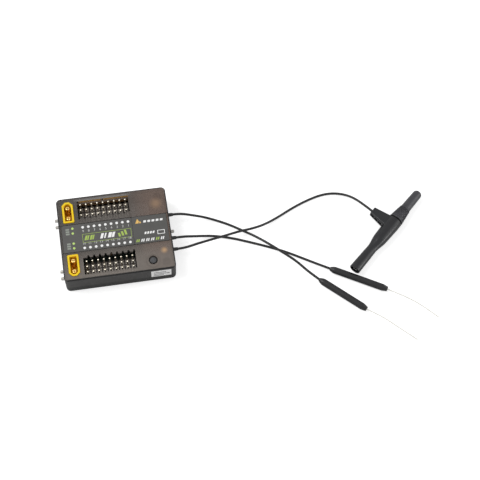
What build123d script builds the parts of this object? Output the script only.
from build123d import *
import math
import os

# RC receiver: a two-part case with servo headers, power sockets and a bind button,
# and three coaxial leads to two whip antennas and one T antenna.
# Millimetres, +X along the case towards the leads, +Y to the back, +Z up.
# The origin is the middle of the case's flat underside.

# Case shells
case_l = 49.5
case_w = 39.9
case_h = 13.0
wall = 1.4
top_t = 1.4
floor_t = 1.2
corner_r = 2.0
base_edge_r = 0.9
top_edge_r = 0.5
tongue_t = 0.6
tongue_h = 0.6
tongue_gap = 0.1

# Circuit board on its bosses
board_t = 1.2
board_gap = 0.2
boss_h = 1.2
boss_d = 4.4

# Case screws, driven from below into posts of the upper shell
post_d = 4.0
post_inset_x = 3.9
post_inset_y = 3.85
left_post_share = 1 / 3
screw_d = 2.0
screw_pass_d = 2.4
screw_shank_l = 7.0
screw_head_d = 3.5
screw_head_t = 1.0
head_recess_d = 3.9
head_recess_h = 1.2
screw_tip_gap = 0.5
cross_w = 0.5
cross_h = 0.5
cross_l = 2.0

# Servo headers: nine columns of three pins, on each side of the label
pitch = 2.54
columns = 9
bank_left_inset = 20.78
bank_y_inset = 6.15
pin_w = 0.64
pin_tip_bevel = 0.18
pin_below_top = 0.6
tail_gap = 0.4
header_h = 2.5
header_notch = 0.4
pin_hole_d = 1.0
window_gap = 0.12
key_offset = 1.04
key_w = 1.25
key_tip_w = 0.65
key_depth = 1.0

# Power sockets with two round contacts
socket_l = 10.1
socket_w = 4.9
socket_wall = 0.85
socket_floor_t = 2.6
socket_proud = 0.3
socket_bevel = 1.5
socket_end_r = 0.6
socket_inset_x = 4.85
socket_inset_y = 7.15
socket_gap = 0.12
contact_d = 2.0
contact_pitch = 5.0
contact_below_top = 0.5
contact_tail_d = 1.4
contact_tail_gap = 0.1
contact_slot_w = 0.2
contact_slot_h = 4.0
contact_tip_r = 0.35

# Bind button over a tactile switch
button_d = 3.1
button_hole_d = 4.0
button_inset_x = 9.75
button_inset_y = 4.85
button_below_top = 0.15
button_edge_r = 0.25
flange_d = 5.0
flange_t = 0.6
flange_gap = 0.2
flange_fit = 0.1
guide_wall = 0.75
guide_h = 2.2
switch_w = 4.5
switch_h = 3.3
plunger_d = 2.4
plunger_out = 0.8
plunger_foot = 1.0
plunger_fit = 0.1
plunger_travel_room = 0.5
leg_l = 0.8
leg_w = 0.6
leg_t = 0.2

# Coaxial leads, their plugs on the board and their sleeves in the side wall
lead_d = 1.13
lead_exit_y = (9.2, -2.4, -8.0)
lead_rise = 1.2
sleeve_d = 1.8
sleeve_tip_d = 1.5
sleeve_out = 2.25
sleeve_flange_d = 2.2
sleeve_flange_t = 0.8
sleeve_gap = 0.05
lead_gap = 0.03
coax_inset = 5.15
coax_base_w = 2.6
coax_base_t = 0.4
coax_ring_d = 2.0
coax_ring_wall = 0.25
coax_ring_h = 0.75
coax_pin_d = 0.5
coax_pin_h = 0.6
plug_d = 2.7
plug_h = 1.6
plug_cup_h = 0.85
plug_gap = 0.04
crimp_d = 1.4
crimp_l = 1.1

# Clear side lenses with a small lamp behind each
lens_d = 1.5
lens_out = 1.8
lens_tip_r = 0.5
lens_gap = 0.05
back_lens_inset = (6.75, 10.05)
front_lens_inset = (8.05, 4.75)
right_lens_y = (0.85,)
lamp_t = 0.4
lamp_w = 1.0
lamp_h = 1.5

# Parts on the board
can_wall = 0.2
can_h = 1.9
back_can_w = 8.6
front_can_w = 8.0
can_bank_gap = 0.94
can_coax_gap = 1.85
can_edge_gap = 1.45
can_switch_gap = 3.25
can_hole_d = 0.9
can_hole_pitch = 1.8
processor_w = 7.0
processor_t = 1.0
processor_at = (-6.5, 0.0)
gyro_w = 4.0
gyro_t = 1.1
gyro_at = (1.5, 1.5)
chip_bevel = 0.6
crystal_size = (3.2, 2.5, 0.8)
crystal_at = (1.5, -3.6)
regulator_size = (6.0, 3.6, 1.6)
regulator_at = ((-13.6, 2.4), (-13.6, -2.4))
regulator_tab = (1.4, 3.0, 0.3)
capacitor_size = (1.6, 0.8, 0.8)
capacitor_at = ((-9.5, 6.0), (-3.5, 6.0), (-9.5, -6.0), (-3.5, -6.0), (5.6, 2.4), (5.6, -2.4))

# Labels
label_t = 0.15
label_l = 47.1
label_side = 13.35
label_split_x = 7.9
label_gap = 0.08
label_corner_r = 0.5
side_label_t = 0.12
side_label_l = 9.0
side_label_h = 6.4
side_label_right_inset = 2.35
side_label_low = 5.1

# Whip antennas: a sleeve with bevelled ends and a fine wire, on leads 1 and 2
whip_sleeve_d = 3.2
whip_neck_d = 1.7
whip_start = ((88.6, -30.6), (94.4, -26.1))
whip_heading = (-42.8, -29.4)
whip_sleeve_l = (25.3, 27.7)
whip_bevel_in = 2.0
whip_bevel_out = 2.2
whip_tip_d = 2.2
whip_wire_d = 0.5

# T antenna, lying flat: its arms run along local X and its stem along local Y
tee_at = (105.05, -28.95)
tee_heading = 41.7
tee_body_d = 7.1
tee_swell_d = 6.5
tee_end_d = 5.2
tee_waist_d = 4.55
tee_waist_s = 13.2
tee_full_s = 20.5
tee_body_l = 31.65
tee_neck_d = 7.0
tee_mouth_d = 3.9
tee_mouth_h = 1.6
tee_tube_d = 2.2
tee_tube_bore = 1.3
tee_tube_l = 3.0
tee_tube_out = 1.0
tee_ring_t = 0.7
tee_ring_d = 6.8
tee_collar_l = 7.45
tee_collar_end_d = 5.1
tee_ribs = 6
tee_rib_h = 0.3
tee_spigot_d = 3.2
tee_spigot_l = 3.0
tee_barrel_l = 11.35
tee_barrel_d = 4.7
tee_barrel_end_d = 4.3
tee_barrel_tip_r = 1.8
tee_barrel_spigot_d = 2.6
tee_spigot_gap = 0.05
stem_s = 28.9
stem_reach = 11.1
stem_tip_w = 3.55
stem_tip_h = 3.4
stem_root_w = 6.6
stem_root_h = 5.2
stem_edge_r = 0.5
stem_groove_depth = 0.5
stem_groove_h = 1.7
stem_rib_t = 0.5
stem_ribs = 3

# Routes of the free leads between their sleeve in the case and their antenna
lead_1_route = (
    (30.5, 9.2, 4.8),
    (36.0, 7.8, 4.3),
    (41.0, 7.0, 2.6),
    (46.2, 5.4, 1.0),
    (52.0, 2.6, 0.6),
    (58.0, -1.4, 0.6),
    (63.0, -5.3, 1.6),
    (68.0, -10.2, 3.3),
    (74.5, -16.1, 3.3),
    (80.0, -20.5, 1.8),
    (84.2, -26.0, 1.6),
)
lead_2_route = (
    (30.5, -2.4, 4.8),
    (35.0, -2.5, 3.8),
    (39.5, -2.1, 1.8),
    (44.5, -2.3, 0.7),
    (52.0, -4.3, 0.6),
    (60.0, -7.5, 0.6),
    (68.0, -10.9, 0.6),
    (76.0, -14.7, 0.6),
    (83.5, -19.2, 0.6),
    (89.2, -23.0, 1.4),
)
lead_3_route = (
    (30.2, -8.0, 4.8),
    (36.0, -6.7, 4.6),
    (42.5, -5.3, 3.9),
    (49.5, -4.0, 3.4),
    (56.5, -2.7, 3.3),
    (63.0, -2.1, 3.2),
    (69.0, -0.2, 1.8),
    (75.5, 2.9, 0.7),
    (82.5, 6.4, 0.6),
    (90.0, 9.4, 0.6),
    (98.0, 11.6, 0.6),
    (105.0, 11.4, 0.6),
    (111.0, 8.5, 1.7),
    (115.5, 3.3, 3.3),
)
wire_1_route = (
    (113.1, -51.5, 0.9),
    (118.5, -56.4, 0.3),
    (123.3, -61.0, 0.3),
    (127.2, -64.8, 0.3),
)
wire_2_route = (
    (126.0, -43.9, 0.9),
    (132.0, -48.4, 0.3),
    (136.0, -52.4, 0.3),
    (139.2, -55.9, 0.3),
)
arc_share = 0.45

# Heights and places that follow from the sizes above
board_low = floor_t + boss_h
board_top = board_low + board_t
seam_z = board_top + lead_rise
plate_low = case_h - top_t
inner_x = case_l / 2 - wall
inner_y = case_w / 2 - wall
board_l = case_l - 2 * (wall + board_gap)
board_w = case_w - 2 * (wall + board_gap)
bank_x = -case_l / 2 + bank_left_inset
bank_y = case_w / 2 - bank_y_inset
bank_l = columns * pitch
bank_w = 3 * pitch
socket_x = -case_l / 2 + socket_inset_x
socket_y = case_w / 2 - socket_inset_y
button_x = case_l / 2 - button_inset_x
button_y = -case_w / 2 + button_inset_y
coax_x = case_l / 2 - coax_inset
sleeve_tip_x = case_l / 2 + sleeve_out
post_x = case_l / 2 - post_inset_x
post_y = case_w / 2 - post_inset_y
label_w = case_w - 2 * label_side
left_post_y = left_post_share * label_w
post_places = (
    (post_x, post_y),
    (post_x, -post_y),
    (-post_x, left_post_y),
    (-post_x, -left_post_y),
)
left_lens_y = [case_w / 2 - inset for inset in back_lens_inset]
left_lens_y += [inset - case_w / 2 for inset in front_lens_inset]
can_low_x = bank_x + bank_l / 2 + can_bank_gap
can_high_x = coax_x - plug_d / 2 - can_coax_gap
can_l = can_high_x - can_low_x
can_x = (can_low_x + can_high_x) / 2
back_can = (can_l, back_can_w, can_h)
front_can = (can_l, front_can_w, can_h)
back_can_at = (can_x, board_w / 2 - can_edge_gap - back_can_w / 2)
front_can_at = (can_x, button_y + switch_w / 2 + can_switch_gap + front_can_w / 2)
screw_tip_z = head_recess_h + screw_shank_l
flange_top = plate_low - flange_gap
plunger_top = board_top + switch_h + plunger_out
tee_ring_s = tee_body_l
tee_collar_s = tee_ring_s + tee_ring_t
tee_barrel_s = tee_collar_s + tee_collar_l

LOW = (Align.CENTER, Align.CENTER, Align.MIN)


def block(size, at, low):
    """Box of the given size, centred at a place, standing on a height."""
    return Pos(at[0], at[1], low) * Box(*size, align=LOW)


def rod(diameter, height, at, low):
    """Upright cylinder, standing on a height."""
    return Pos(at[0], at[1], low) * Cylinder(diameter / 2, height, align=LOW)


def rod_x(diameter, length, start_x, y, z):
    """Cylinder along +X from a start."""
    return Pos(start_x, y, z) * Rot(0, 90, 0) * Cylinder(diameter / 2, length, align=LOW)


def rounded_block(length, width, height, radius, low):
    """Upright block with rounded vertical corners."""
    return Pos(0, 0, low) * extrude(RectangleRounded(length, width, radius), height)


def turned(points):
    """Solid turned about the X axis from (along, radius) points."""
    face = make_face(Plane.XY * Polyline(*points, close=True))
    return revolve(face, Axis.X)


def inset_radius(inset):
    """Corner radius of a wall line that lies inside the case's outline."""
    return max(corner_r - inset, 0.3)


def case_ring(outer_inset, inner_inset, height, low):
    """Upright ring between two insets of the case's outline."""
    outer = rounded_block(
        case_l - 2 * outer_inset, case_w - 2 * outer_inset, height, inset_radius(outer_inset), low
    )
    inner = rounded_block(
        case_l - 2 * inner_inset, case_w - 2 * inner_inset, height, inset_radius(inner_inset), low
    )
    return outer - inner


def wall_passages():
    """Cutters for the lead sleeves and side lenses, half in each shell at the seam."""
    reach = wall + 2 * sleeve_gap
    cutters = []
    for y in lead_exit_y:
        cutters.append(rod_x(sleeve_d + 2 * sleeve_gap, reach, inner_x - sleeve_gap, y, seam_z))
    for y in right_lens_y:
        cutters.append(rod_x(lens_d + 2 * lens_gap, reach, inner_x - sleeve_gap, y, seam_z))
    for y in left_lens_y:
        start = -inner_x + sleeve_gap - reach
        cutters.append(rod_x(lens_d + 2 * lens_gap, reach, start, y, seam_z))
    return cutters


def window_outline():
    """One servo window with a key notch at each column, on the +Y side."""
    length = bank_l + 2 * window_gap
    width = bank_w + 2 * window_gap
    outline = Rectangle(length, width)
    key_root = width / 2 - window_gap
    for column in range(columns):
        x = (column - (columns - 1) / 2) * pitch + key_offset
        key = Polyline(
            (x - key_w / 2, key_root),
            (x + key_w / 2, key_root),
            (x + key_tip_w / 2, width / 2 + key_depth),
            (x - key_tip_w / 2, width / 2 + key_depth),
            close=True,
        )
        outline += make_face(key)
    return outline


def bank_places():
    """Places of the back and front servo banks; the key side of each faces the label."""
    return {
        "back": Pos(bank_x, bank_y, 0) * Rot(0, 0, 180),
        "front": Pos(bank_x, -bank_y, 0),
    }


def socket_places():
    """Places of the back and front power sockets; the bevelled end faces outwards."""
    return {
        "back": Pos(socket_x, socket_y, 0),
        "front": Pos(socket_x, -socket_y, 0) * Rot(0, 0, 180),
    }


def socket_outline(grow):
    """Outline of a power socket, grown by a distance, with bevels at its +Y end."""
    half_w = socket_w / 2 + grow
    half_l = socket_l / 2 + grow
    bevel = socket_bevel + grow * (2 - math.sqrt(2))
    face = make_face(
        Polyline(
            (-half_w, -half_l),
            (half_w, -half_l),
            (half_w, half_l - bevel),
            (half_w - bevel, half_l),
            (bevel - half_w, half_l),
            (-half_w, half_l - bevel),
            close=True,
        )
    )
    return fillet(face.vertices().group_by(Axis.Y)[0], max(socket_end_r + grow, 0.1))


def case_bottom():
    """Tray with bosses for the board, a tongue round its rim and recessed screw holes."""
    tray = rounded_block(case_l, case_w, seam_z, corner_r, 0)
    tray = fillet(tray.edges().group_by(Axis.Z)[0], base_edge_r)
    hollow = rounded_block(
        case_l - 2 * wall, case_w - 2 * wall, seam_z, inset_radius(wall), floor_t
    )
    tray -= hollow
    tray += case_ring(wall - tongue_t, wall, tongue_h, seam_z)
    for place in post_places:
        tray += rod(boss_d, boss_h, place, floor_t)
    for place in post_places:
        tray -= rod(screw_pass_d, board_low, place, 0)
        tray -= rod(head_recess_d, head_recess_h, place, 0)
    for cutter in wall_passages():
        tray -= cutter
    return tray


def button_guide():
    """Ring under the top plate that guides the button's flange."""
    inner_d = flange_d + 2 * flange_fit
    ring = rod(inner_d + 2 * guide_wall, guide_h, (button_x, button_y), plate_low - guide_h)
    return ring - rod(inner_d, guide_h, (button_x, button_y), plate_low - guide_h)


def case_top():
    """Upper shell with servo windows, socket holes, label recess, posts and button guide."""
    shell = rounded_block(case_l, case_w, case_h - seam_z, corner_r, seam_z)
    shell = fillet(shell.edges().group_by(Axis.Z)[-1], top_edge_r)
    shell -= rounded_block(
        case_l - 2 * wall, case_w - 2 * wall, plate_low - seam_z, inset_radius(wall), seam_z
    )
    shell -= case_ring(
        wall - tongue_t - tongue_gap, wall + tongue_gap, tongue_h + tongue_gap, seam_z
    )
    shell += button_guide()
    for place in post_places:
        shell += rod(post_d, plate_low - board_top, place, board_top)
    for place in post_places:
        shell -= rod(screw_d, screw_tip_z + screw_tip_gap - board_top, place, board_top)
    for place in bank_places().values():
        shell -= place * Pos(0, 0, plate_low) * extrude(window_outline(), top_t)
    for place in socket_places().values():
        shell -= place * Pos(0, 0, plate_low) * extrude(socket_outline(socket_gap), top_t)
    shell -= rod(button_hole_d, top_t, (button_x, button_y), plate_low)
    recess_l = label_l + 2 * label_gap
    recess_w = label_w + 2 * label_gap
    shell -= rounded_block(recess_l, recess_w, label_t, label_corner_r, case_h - label_t)
    for cutter in wall_passages():
        shell -= cutter
    return shell


def circuit_board():
    """Board with drilled holes for the pins, the power contacts and the case screws."""
    board = rounded_block(board_l, board_w, board_t, inset_radius(wall), board_low)
    holes = []
    for place in bank_places().values():
        for row in (-1, 0, 1):
            for column in range(columns):
                x = (column - (columns - 1) / 2) * pitch
                hole = Pos(x, row * pitch, board_low) * Cylinder(pin_hole_d / 2, board_t, align=LOW)
                holes.append(place * hole)
    for place in socket_places().values():
        for side in (-1, 1):
            tail_d = contact_tail_d + 2 * contact_tail_gap
            holes.append(place * rod(tail_d, board_t, (0, side * contact_pitch / 2), board_low))
    for place in post_places:
        holes.append(rod(screw_pass_d, board_t, place, board_low))
    return board - holes


def servo_header():
    """Base of one bank in its own frame: notched between columns, with a hole for each pin."""
    half_l = bank_l / 2
    half_w = bank_w / 2
    edge = [(-half_l, 0)]
    for column in range(columns):
        left = -half_l + column * pitch
        edge.append((left + header_notch, 0))
        edge.append((left + pitch - header_notch, 0))
        edge.append((left + pitch, header_notch))
    near = [(-half_l, -half_w + header_notch)]
    near += [(x, -half_w + y) for x, y in edge[1:]]
    far = [(-x, -y) for x, y in near]
    outline = make_face(Polyline(*near, *far, close=True))
    base = Pos(0, 0, board_top) * extrude(outline, header_h)
    holes = []
    for row in (-1, 0, 1):
        for column in range(columns):
            x = (column - (columns - 1) / 2) * pitch
            holes.append(block((pin_w, pin_w, header_h), (x, row * pitch), board_top))
    return base - holes


def pin_row(row):
    """Nine square pins of one row of a bank, each with a bevelled tip."""
    low = floor_t + tail_gap
    high = case_h - pin_below_top
    pins = []
    for column in range(columns):
        x = (column - (columns - 1) / 2) * pitch
        pin = block((pin_w, pin_w, high - low), (x, row * pitch), low)
        pin = chamfer(pin.edges().group_by(Axis.Z)[-1], pin_tip_bevel)
        pins.append(pin)
    return pins


def power_socket():
    """Shell of one power socket in its own frame, hollow above a floor with two holes."""
    high = case_h + socket_proud
    shell = Pos(0, 0, board_top) * extrude(socket_outline(0), high - board_top)
    cavity_low = board_top + socket_floor_t
    shell -= Pos(0, 0, cavity_low) * extrude(socket_outline(-socket_wall), high - cavity_low)
    for side in (-1, 1):
        shell -= rod(contact_d, socket_floor_t, (0, side * contact_pitch / 2), board_top)
    return shell


def power_contacts():
    """Two round contacts of a socket, each with crossed slots at its tip and a thin tail."""
    high = case_h - contact_below_top
    tail_low = floor_t + tail_gap
    contacts = []
    for side in (-1, 1):
        at = (0, side * contact_pitch / 2)
        pin = rod(contact_d, high - board_top, at, board_top)
        pin = fillet(pin.edges().group_by(Axis.Z)[-1], contact_tip_r)
        slot_low = high - contact_slot_h
        pin -= block((contact_d, contact_slot_w, contact_slot_h), at, slot_low)
        pin -= block((contact_slot_w, contact_d, contact_slot_h), at, slot_low)
        pin += rod(contact_tail_d, board_top - tail_low, at, tail_low)
        contacts.append(pin)
    return contacts


def bind_button():
    """Button cap with its flange under the top plate and a stem down to the switch."""
    at = (button_x, button_y)
    flange_low = flange_top - flange_t
    cap = rod(button_d, case_h - button_below_top - flange_top, at, flange_top)
    cap = fillet(cap.edges().group_by(Axis.Z)[-1], button_edge_r)
    return cap + rod(flange_d, flange_t, at, flange_low) + rod(
        plunger_d, flange_low - plunger_top, at, plunger_top
    )


def switch_plunger():
    """Plunger of the tactile switch, with its foot in the switch body."""
    foot_low = board_top + switch_h - plunger_foot
    return rod(plunger_d, plunger_top - foot_low, (button_x, button_y), foot_low)


def switch_base():
    """Square switch body with a round well for its plunger."""
    at = (button_x, button_y)
    body = block((switch_w, switch_w, switch_h), at, board_top)
    well_h = plunger_foot + plunger_travel_room
    return body - rod(plunger_d + 2 * plunger_fit, well_h, at, board_top + switch_h - well_h)


def switch_legs():
    """Four flat legs beside the switch body, on the board."""
    legs = []
    for side_x in (-1, 1):
        for side_y in (-1, 1):
            at = (
                button_x + side_x * (switch_w + leg_l) / 2,
                button_y + side_y * (switch_w / 2 - leg_w),
            )
            legs.append(block((leg_l, leg_w, leg_t), at, board_top))
    return legs


def side_lenses():
    """Clear lenses through the side walls, rounded at the outer end."""
    length = wall + lens_out
    lenses = []
    for y in right_lens_y:
        lens = rod_x(lens_d, length, inner_x, y, seam_z)
        lenses.append(fillet(lens.edges().group_by(Axis.X)[-1], lens_tip_r))
    for y in left_lens_y:
        lens = rod_x(lens_d, length, -inner_x - length, y, seam_z)
        lenses.append(fillet(lens.edges().group_by(Axis.X)[0], lens_tip_r))
    return lenses


def side_lamps():
    """Small lamps on the board's edge, one behind each lens."""
    x = board_l / 2 - lamp_t / 2
    lamps = []
    for y in right_lens_y:
        lamps.append(block((lamp_t, lamp_w, lamp_h), (x, y), board_top))
    for y in left_lens_y:
        lamps.append(block((lamp_t, lamp_w, lamp_h), (-x, y), board_top))
    return lamps


def shield_can(size, at):
    """Folded metal can with two rows of vent holes in its lid."""
    length, width, height = size
    can = block(size, at, board_top)
    can = fillet(can.edges().filter_by(Axis.Z), 2 * can_wall)
    can -= block((length - 2 * can_wall, width - 2 * can_wall, height - can_wall), at, board_top)
    for row in (-1, 1):
        for column in (-1, 0, 1):
            hole_at = (at[0] + column * can_hole_pitch, at[1] + row * can_hole_pitch)
            can -= rod(can_hole_d, can_wall, hole_at, board_top + height - can_wall)
    return can


def chip(width, thick, at):
    """Square chip with one bevelled corner for pin one."""
    body = block((width, width, thick), at, board_top)
    corner = body.edges().filter_by(Axis.Z).sort_by(lambda edge: edge.center().X - edge.center().Y)
    return chamfer(corner[0], chip_bevel)


def voltage_regulators():
    """Two regulators, each a moulded body with a soldered tab."""
    parts = []
    for at in regulator_at:
        body = block(regulator_size, at, board_top)
        tab_x = at[0] - (regulator_size[0] + regulator_tab[0]) / 2
        parts.append(body + block(regulator_tab, (tab_x, at[1]), board_top))
    return parts


def coax_board_sockets():
    """Board sockets of the three leads: a square base, a ring and a pin, as one part each."""
    sockets = []
    for y in lead_exit_y:
        at = (coax_x, y)
        socket = block((coax_base_w, coax_base_w, coax_base_t), at, board_top)
        ring_low = board_top + coax_base_t
        socket += rod(coax_ring_d, coax_ring_h, at, ring_low)
        socket -= rod(coax_ring_d - 2 * coax_ring_wall, coax_ring_h, at, ring_low)
        socket += rod(coax_pin_d, coax_pin_h, at, ring_low)
        sockets.append(socket)
    return sockets


def coax_plug(y):
    """Right-angle plug over its board socket, with the crimped lead up to the sleeve's tip."""
    at = (coax_x, y)
    cup_low = board_top + coax_base_t
    plug = rod(plug_d, plug_h, at, cup_low)
    plug -= rod(coax_ring_d + 2 * plug_gap, plug_cup_h, at, cup_low)
    crimp_start = coax_x + coax_ring_d / 2 + plug_gap + coax_ring_wall
    crimp_end = coax_x + plug_d / 2 + crimp_l
    plug += rod_x(crimp_d, crimp_end - crimp_start, crimp_start, y, seam_z)
    plug += rod_x(lead_d, sleeve_tip_x - crimp_end, crimp_end, y, seam_z)
    return plug


def lead_sleeve(y):
    """Strain relief of one lead: flanged inside the wall, tapered outside, bored for the lead."""
    flange_x = inner_x - sleeve_flange_t
    outline = (
        (flange_x, lead_d / 2 + lead_gap),
        (flange_x, sleeve_flange_d / 2),
        (inner_x, sleeve_flange_d / 2),
        (inner_x, sleeve_d / 2),
        (case_l / 2, sleeve_d / 2),
        (sleeve_tip_x, sleeve_tip_d / 2),
        (sleeve_tip_x, lead_d / 2 + lead_gap),
    )
    return Pos(0, y, seam_z) * turned(outline)


def routed_tube(points, diameter, name):
    """Tube along straight runs joined by arcs, each as large as its two runs allow."""
    radii = []
    for before, corner, after in zip(points, points[1:], points[2:]):
        run_in = Vector(*corner) - Vector(*before)
        run_out = Vector(*after) - Vector(*corner)
        half_turn = math.radians(run_in.get_angle(run_out)) / 2
        radii.append(arc_share * min(run_in.length, run_out.length) / math.tan(half_turn))
    path = FilletPolyline(*points, radius=radii)
    section = Plane(origin=path @ 0, z_dir=path % 0) * Circle(diameter / 2)
    tube = sweep(section, path=path)
    expected = math.pi * diameter ** 2 / 4 * path.length
    print(name, "length", round(path.length, 1), "volume share", round(tube.volume / expected, 4))
    print("  arc radii", [round(radius, 1) for radius in radii])
    return tube


def lead_start(index):
    """Point where a lead leaves its sleeve."""
    return (sleeve_tip_x, lead_exit_y[index], seam_z)


def whip_place(index):
    """Place of a whip sleeve: its axis along local X, lying on the surface."""
    x, y = whip_start[index]
    return Pos(x, y, whip_sleeve_d / 2) * Rot(0, 0, whip_heading[index])


def whip_sleeve(index):
    """Moulded whip sleeve with a bevel at each end."""
    length = whip_sleeve_l[index]
    outline = (
        (0, 0),
        (0, whip_neck_d / 2),
        (whip_bevel_in, whip_sleeve_d / 2),
        (length - whip_bevel_out, whip_sleeve_d / 2),
        (length, whip_tip_d / 2),
        (length, 0),
    )
    return whip_place(index) * turned(outline)


def placed_point(place, along, across):
    """Point of a placed frame, as a plain tuple."""
    spot = (place * Pos(along, across, 0)).position
    return (spot.X, spot.Y, spot.Z)


def tee_place():
    """Place of the T antenna: its arms along local X, its fullest part on the surface."""
    return Pos(tee_at[0], tee_at[1], tee_body_d / 2) * Rot(0, 0, tee_heading)


def stem_wedge():
    """Tapered stem of the T antenna along local Y, with ribbed side grooves, cut at the neck."""
    root = Plane(origin=(stem_s, 0, 0), x_dir=(1, 0, 0), z_dir=(0, 1, 0))
    tip = Plane(origin=(stem_s, stem_reach, 0), x_dir=(1, 0, 0), z_dir=(0, 1, 0))
    stem = loft(
        [
            root * RectangleRounded(stem_root_w, stem_root_h, stem_edge_r),
            tip * RectangleRounded(stem_tip_w, stem_tip_h, stem_edge_r),
        ]
    )
    past_neck = block(
        (stem_root_w, 2 * stem_reach, stem_root_h),
        (tee_body_l + stem_root_w / 2, 0),
        -stem_root_h / 2,
    )
    return stem - (stem_grooves() + [past_neck])


def stem_grooves():
    """Cutters for the side grooves of the stem, parted by ribs that stay."""
    groove_from = tee_body_d / 2 + stem_rib_t
    groove_to = stem_reach - stem_rib_t
    bay = (groove_to - groove_from - (stem_ribs - 1) * stem_rib_t) / stem_ribs
    cutters = []
    for side in (-1, 1):
        for index in range(stem_ribs):
            near = groove_from + index * (bay + stem_rib_t)
            far = near + bay
            corners = []
            for y, out in ((near, 0), (far, 0), (far, 1), (near, 1)):
                half = stem_root_w / 2 + (stem_tip_w - stem_root_w) / 2 * y / stem_reach
                corners.append((stem_s + side * (half - stem_groove_depth + out), y))
            face = make_face(Polyline(*corners, close=True))
            cutters.append(Pos(0, 0, -stem_groove_h / 2) * extrude(face, stem_groove_h))
    return cutters


def tee_body():
    """Moulded body: lower arm with its mouth, swelling to the middle, and the stem."""
    arm = [
        (tee_mouth_h, 0),
        (tee_mouth_h, tee_mouth_d / 2),
        (0, tee_mouth_d / 2),
        (0, tee_end_d / 2 - 0.2),
        (0.2, tee_end_d / 2),
        (tee_waist_s - 3.5, tee_waist_d / 2 + 0.12),
        (tee_waist_s, tee_waist_d / 2),
    ]
    swell_steps = 6
    for step in range(1, swell_steps + 1):
        share = step / swell_steps
        ease = share * share * (3 - 2 * share)
        along = tee_waist_s + share * (tee_full_s - tee_waist_s)
        arm.append((along, tee_waist_d / 2 + ease * (tee_swell_d - tee_waist_d) / 2))
    arm += [
        (stem_s, tee_body_d / 2),
        (tee_body_l, tee_neck_d / 2),
        (tee_body_l, (tee_spigot_d + 2 * tee_spigot_gap) / 2),
        (tee_body_l - tee_spigot_l, (tee_spigot_d + 2 * tee_spigot_gap) / 2),
        (tee_body_l - tee_spigot_l, 0),
    ]
    body = turned(arm)
    tube_seat = rod_x(tee_tube_d, tee_tube_l, tee_mouth_h, 0, 0)
    spigot_bore = rod_x(
        tee_spigot_d + 2 * tee_spigot_gap, tee_spigot_l, tee_body_l - tee_spigot_l, 0, 0
    )
    body = body + stem_wedge() - tube_seat - spigot_bore
    return tee_place() * body


def tee_end_tube():
    """Metal tube in the mouth of the lower arm."""
    start = tee_mouth_h - tee_tube_out
    tube = rod_x(tee_tube_d, tee_tube_out + tee_tube_l, start, 0, 0)
    tube -= rod_x(tee_tube_bore, tee_tube_out + tee_tube_l / 2, start, 0, 0)
    return tee_place() * tube


def tee_ring():
    """Narrow ring between the body and the ribbed collar."""
    ring = rod_x(tee_ring_d, tee_ring_t, tee_ring_s, 0, 0)
    ring -= rod_x(tee_spigot_d + 2 * tee_spigot_gap, tee_ring_t, tee_ring_s, 0, 0)
    return tee_place() * ring


def tee_collar():
    """Ribbed collar that tapers to the upper barrel, with a spigot into the body."""
    spigot_start = tee_body_l - tee_spigot_l
    outline = [
        (spigot_start, 0),
        (spigot_start, tee_spigot_d / 2),
        (tee_collar_s, tee_spigot_d / 2),
    ]
    rib_pitch = tee_collar_l / tee_ribs
    slope = (tee_collar_end_d - tee_neck_d) / 2 / tee_collar_l
    for rib in range(tee_ribs):
        start = rib * rib_pitch
        for along, drop in ((0, 0), (0.6, 0), (0.7, tee_rib_h), (1, tee_rib_h)):
            s = start + along * rib_pitch
            outline.append((tee_collar_s + s, tee_neck_d / 2 + slope * s - drop))
    bore = tee_barrel_spigot_d / 2 + tee_spigot_gap
    outline.append((tee_barrel_s, bore))
    outline.append((tee_barrel_s - tee_spigot_l, bore))
    outline.append((tee_barrel_s - tee_spigot_l, 0))
    return tee_place() * turned(outline)


def tee_upper_barrel():
    """Upper barrel with a rounded end, on its spigot in the collar."""
    start = tee_barrel_s - tee_spigot_l
    tip = tee_barrel_s + tee_barrel_l
    outline = (
        (start, 0),
        (start, tee_barrel_spigot_d / 2),
        (tee_barrel_s, tee_barrel_spigot_d / 2),
        (tee_barrel_s, tee_barrel_d / 2),
        (tip, tee_barrel_end_d / 2),
        (tip, 0),
    )
    barrel = turned(outline)
    barrel = fillet(barrel.edges().group_by(Axis.X)[-1], tee_barrel_tip_r)
    return tee_place() * barrel


def label_main():
    """Label between the servo banks, left of the split, flush in its recess."""
    length = label_l / 2 + label_split_x - label_gap
    x = -label_l / 2 + length / 2
    outline = RectangleRounded(length, label_w, label_corner_r)
    return Pos(x, 0, case_h - label_t) * extrude(outline, label_t)


def label_end_panel():
    """Label piece right of the split."""
    length = label_l / 2 - label_split_x
    x = label_split_x + length / 2
    outline = RectangleRounded(length, label_w, label_corner_r)
    return Pos(x, 0, case_h - label_t) * extrude(outline, label_t)


def side_label():
    """Small label on the front wall."""
    x = case_l / 2 - side_label_right_inset - side_label_l / 2
    y = -case_w / 2 - side_label_t / 2
    return block((side_label_l, side_label_t, side_label_h), (x, y), side_label_low)


def case_screws():
    """Four pan-head screws with crossed slots, heads down in the tray."""
    screws = []
    for place in post_places:
        head_low = head_recess_h - screw_head_t
        screw = rod(screw_head_d, screw_head_t, place, head_low)
        screw = fillet(screw.edges().group_by(Axis.Z)[0], screw_head_t / 3)
        screw += rod(screw_d, screw_shank_l, place, head_recess_h)
        screw -= block((cross_l, cross_w, cross_h), place, head_low)
        screw -= block((cross_w, cross_l, cross_h), place, head_low)
        screws.append(screw)
    return screws


def case_nodes():
    """Case, labels, button and screws."""
    return {
        "case_top": [case_top()],
        "case_bottom": [case_bottom()],
        "case_screws": case_screws(),
        "label_main": [label_main()],
        "label_end_panel": [label_end_panel()],
        "side_label": [side_label()],
        "bind_button": [bind_button()],
        "side_lenses": side_lenses(),
    }


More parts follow.
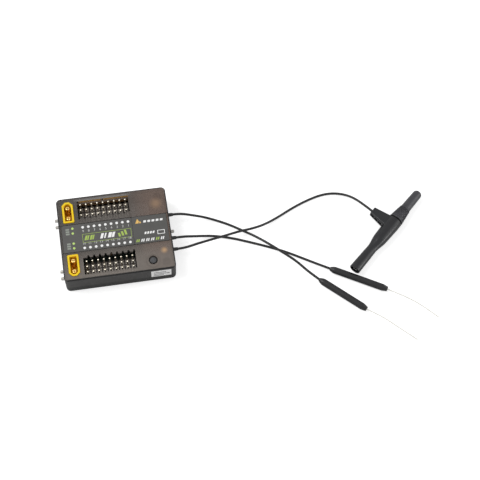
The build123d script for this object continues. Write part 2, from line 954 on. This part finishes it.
def board_nodes():
    """Board and what is soldered to it."""
    nodes = {
        "circuit_board": [circuit_board()],
        "switch_base": [switch_base()],
        "switch_plunger": [switch_plunger()],
        "switch_legs": switch_legs(),
        "side_lamps": side_lamps(),
        "shield_can_back": [shield_can(back_can, back_can_at)],
        "shield_can_front": [shield_can(front_can, front_can_at)],
        "processor": [chip(processor_w, processor_t, processor_at)],
        "gyro_module": [chip(gyro_w, gyro_t, gyro_at)],
        "crystal": [block(crystal_size, crystal_at, board_top)],
        "voltage_regulators": voltage_regulators(),
        "capacitors": [block(capacitor_size, at, board_top) for at in capacitor_at],
        "coax_board_sockets": coax_board_sockets(),
    }
    header = servo_header()
    row_names = {1: "signal", 0: "power", -1: "ground"}
    for bank, place in bank_places().items():
        nodes["servo_header_" + bank] = [place * header]
        for row, row_name in row_names.items():
            nodes["servo_pins_" + bank + "_" + row_name] = [place * pin for pin in pin_row(row)]
    for side, place in socket_places().items():
        nodes["power_socket_" + side] = [place * power_socket()]
        nodes["power_contacts_" + side] = [place * contact for contact in power_contacts()]
    return nodes


def antenna_nodes():
    """Leads with their plugs and sleeves, the two whips and the T antenna."""
    nodes = {}
    for index, y in enumerate(lead_exit_y):
        nodes["coax_plug_" + str(index + 1)] = [coax_plug(y)]
        nodes["lead_sleeve_" + str(index + 1)] = [lead_sleeve(y)]
    ends = [placed_point(whip_place(0), 0, 0), placed_point(whip_place(1), 0, 0)]
    ends.append(placed_point(tee_place(), stem_s, stem_reach))
    for index, route in enumerate((lead_1_route, lead_2_route, lead_3_route)):
        name = "antenna_lead_" + str(index + 1)
        points = (lead_start(index),) + route + (ends[index],)
        nodes[name] = [routed_tube(points, lead_d, name)]
    for index, route in enumerate((wire_1_route, wire_2_route)):
        name = "whip_wire_" + str(index + 1)
        start = placed_point(whip_place(index), whip_sleeve_l[index], 0)
        nodes["whip_sleeve_" + str(index + 1)] = [whip_sleeve(index)]
        nodes[name] = [routed_tube((start,) + route, whip_wire_d, name)]
    nodes["tee_body"] = [tee_body()]
    nodes["tee_end_tube"] = [tee_end_tube()]
    nodes["tee_ring"] = [tee_ring()]
    nodes["tee_collar"] = [tee_collar()]
    nodes["tee_upper_barrel"] = [tee_upper_barrel()]
    return nodes


def main():
    """Build every node and write one STEP file for each."""
    os.makedirs("parts", exist_ok=True)
    nodes = {**case_nodes(), **board_nodes(), **antenna_nodes()}
    for name, solids in nodes.items():
        pieces = [solid for shape in solids for solid in shape.solids()]
        shape = pieces[0] if len(pieces) == 1 else Compound(children=pieces)
        export_step(shape, "parts/" + name + ".step")
    print(len(nodes), "nodes")


main()
